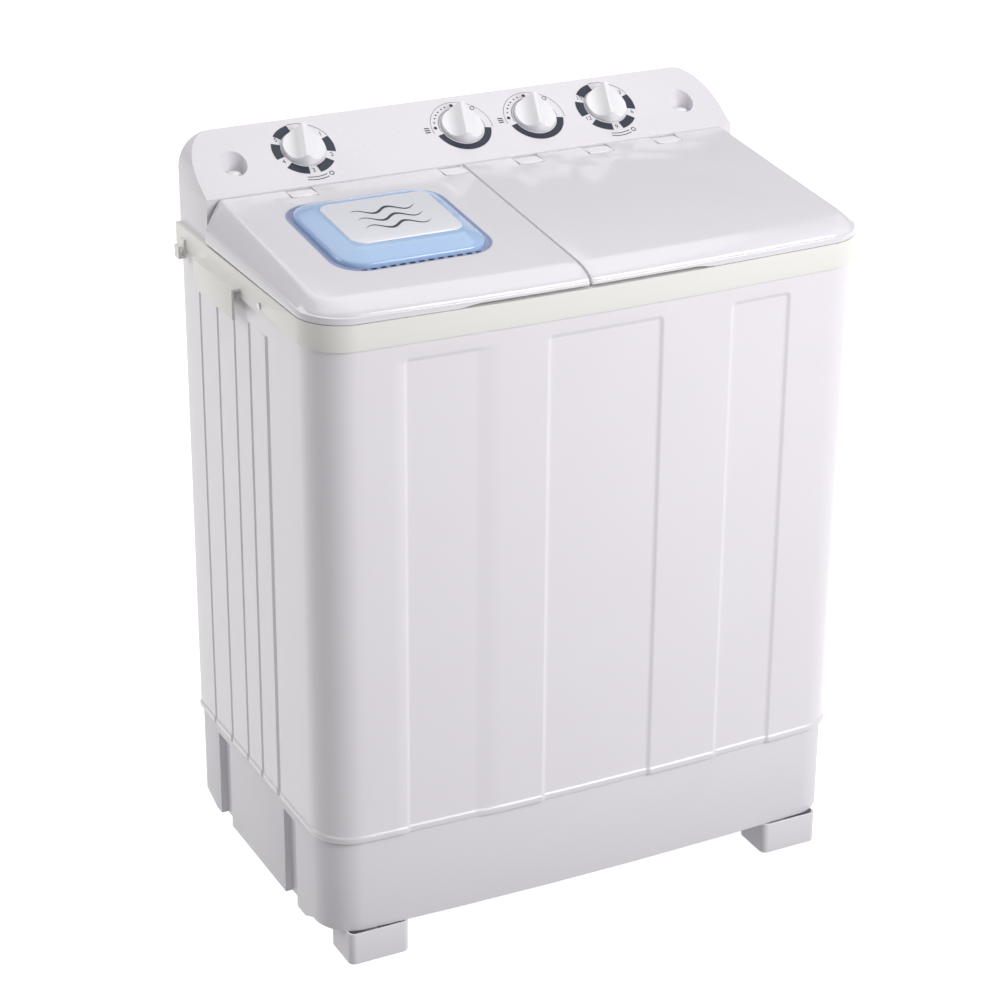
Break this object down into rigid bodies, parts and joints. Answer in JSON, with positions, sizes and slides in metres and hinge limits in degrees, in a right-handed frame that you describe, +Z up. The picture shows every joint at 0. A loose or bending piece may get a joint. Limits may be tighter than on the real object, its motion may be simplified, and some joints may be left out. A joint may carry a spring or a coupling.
{
  "type": "twin tub washer",
  "caption": "Twin tub washer: a wash tub and a spin basket side by side under hinged lids, dials on a raised rear console, a white cabinet on corner feet.",
  "frame": {"origin": "on the floor under the middle of the whole machine", "axes": "+Z up, -Y the front where the user stands, +X to the user's right, on the wash side"},
  "size_m": [0.77, 0.464, 0.9674],
  "materials": {
    "body_white": "cool white enamelled sheet with a soft gloss",
    "plinth_white": "cool white moulded polypropylene, fine grain",
    "band_cream": "warm white moulded plastic, satin",
    "lid_white": "cool grey-white polished plastic",
    "vent_blue": "pale blue polished plastic",
    "plaque_white": "white polished plastic with a printed airflow mark",
    "console_white": "white polished plastic with printed dials",
    "knob_white": "white moulded plastic, satin",
    "back_grey": "light grey moulded plastic",
    "zinc": "bright zinc-plated steel",
    "shaft_steel": "ground stainless steel",
    "black_rubber": "black moulded rubber",
    "switch_grey": "grey engineering plastic",
    "tub_white": "pale blue-white polypropylene tub",
    "inner_blue": "light blue polypropylene",
    "ring_white": "white plastic ring filled with brine",
    "cover_clear": "translucent pale blue plastic",
    "cast_alloy": "die-cast aluminium",
    "motor_paint": "dark grey enamelled steel",
    "plug_rubber": "slate grey rubber on a plastic rod"
  },
  "bodies": {
    "machine": {"base": "plinth_white", "foot_front_left": "plinth_white", "foot_front_right": "plinth_white", "foot_rear_left": "plinth_white", "foot_rear_right": "plinth_white", "cabinet": "body_white", "rear_cover": "back_grey", "top_frame": "band_cream", "side_screws": "zinc", "hose_hook": "band_cream", "cord_gland": "black_rubber", "console_cover": "console_white", "console_back": "back_grey", "console_screws": "knob_white", "switch_bracket": "zinc", "spin_timer": "switch_grey", "drain_selector": "switch_grey", "wash_selector": "switch_grey", "wash_timer": "switch_grey", "lid_switch": "switch_grey", "capacitors": "switch_grey", "wash_hinge_pins": "zinc", "spin_hinge_pins": "zinc", "inner_cover_pins": "zinc", "wash_tub": "tub_white", "overflow_cover": "tub_white", "shaft_housing": "cast_alloy", "shaft_seal": "black_rubber", "drive_belt": "black_rubber", "wash_motor": "motor_paint", "motor_plate": "zinc", "spin_case": "tub_white", "bellows_seal": "black_rubber", "spin_motor": "motor_paint", "spin_springs": "black_rubber", "drain_valve": "tub_white", "drain_pipe": "back_grey", "inlet_pipe": "back_grey", "cover_screws": "zinc"},
    "wash_lid": {"wash_lid": "lid_white"},
    "spin_lid": {"spin_lid": "lid_white", "vent_cap": "vent_blue", "vent_plaque": "plaque_white"},
    "inner_cover": {"inner_cover": "cover_clear"},
    "spin_timer_knob": {"spin_timer_knob": "knob_white"},
    "drain_knob": {"drain_knob": "knob_white"},
    "wash_knob": {"wash_knob": "knob_white"},
    "wash_timer_knob": {"wash_timer_knob": "knob_white"},
    "agitator": {"pulsator": "inner_blue", "pulsator_screw": "zinc", "wash_shaft": "shaft_steel", "wash_pulley": "cast_alloy"},
    "motor_rotor": {"motor_pulley": "cast_alloy"},
    "spinner": {"spin_basket": "inner_blue", "balance_ring": "ring_white", "spin_shaft": "shaft_steel", "brake_drum": "cast_alloy"},
    "brake_lever": {"brake_lever": "zinc"},
    "drain_plug": {"drain_plug": "plug_rubber"},
    "lint_filter": {"lint_filter": "inner_blue"}
  },
  "joints": [
    {"name": "wash_lid_hinge", "type": "hinge", "parent": "machine", "child": "wash_lid", "pos_m": [0.171, 0.093, 0.899], "axis": [-1, 0, 0], "range_deg": [0, 100]},
    {"name": "spin_lid_hinge", "type": "hinge", "parent": "machine", "child": "spin_lid", "pos_m": [-0.196, 0.093, 0.899], "axis": [-1, 0, 0], "range_deg": [0, 100]},
    {"name": "inner_cover_hinge", "type": "hinge", "parent": "machine", "child": "inner_cover", "pos_m": [-0.196, 0.071, 0.859], "axis": [-1, 0, 0], "range_deg": [0, 86]},
    {"name": "spin_timer_turn", "type": "hinge", "parent": "machine", "child": "spin_timer_knob", "pos_m": [-0.2195, 0.16076, 0.93909], "axis": [0, 0.5299, -0.848], "range_deg": [0, 300]},
    {"name": "drain_turn", "type": "hinge", "parent": "machine", "child": "drain_knob", "pos_m": [-0.0005, 0.16076, 0.93909], "axis": [0, 0.5299, -0.848], "range_deg": [0, 120]},
    {"name": "wash_turn", "type": "hinge", "parent": "machine", "child": "wash_knob", "pos_m": [0.1035, 0.16076, 0.93909], "axis": [0, 0.5299, -0.848], "range_deg": [0, 120]},
    {"name": "wash_timer_turn", "type": "hinge", "parent": "machine", "child": "wash_timer_knob", "pos_m": [0.2075, 0.16076, 0.93909], "axis": [0, 0.5299, -0.848], "range_deg": [0, 300]},
    {"name": "pulsator_spin", "type": "hinge", "parent": "machine", "child": "agitator", "pos_m": [0.171, -0.057, 0.423], "axis": [0, 0, 1], "continuous": true},
    {"name": "motor_spin", "type": "hinge", "parent": "machine", "child": "motor_rotor", "pos_m": [0.171, 0.132, 0.305], "axis": [0, 0, 1], "continuous": true},
    {"name": "basket_spin", "type": "hinge", "parent": "machine", "child": "spinner", "pos_m": [-0.196, -0.057, 0.423], "axis": [0, 0, 1], "continuous": true},
    {"name": "brake_turn", "type": "hinge", "parent": "machine", "child": "brake_lever", "pos_m": [-0.132, -0.027, 0.23], "axis": [0, 0, 1], "range_deg": [-1, 0]},
    {"name": "plug_lift", "type": "slide", "parent": "machine", "child": "drain_plug", "axis": [0, 0, 1], "range_m": [0, 0.012]},
    {"name": "filter_lift", "type": "slide", "parent": "machine", "child": "lint_filter", "axis": [0, 0, 1], "range_m": [0, 0.05]}
  ],
  "couplings": [
    {"joint": "inner_cover_hinge", "follows": "spin_lid_hinge", "ratio": 0.85},
    {"joint": "brake_turn", "follows": "spin_lid_hinge", "ratio": -0.01},
    {"joint": "motor_spin", "follows": "pulsator_spin", "ratio": 3.8333},
    {"joint": "plug_lift", "follows": "drain_turn", "m_per_rad": 0.005682}
  ]
}
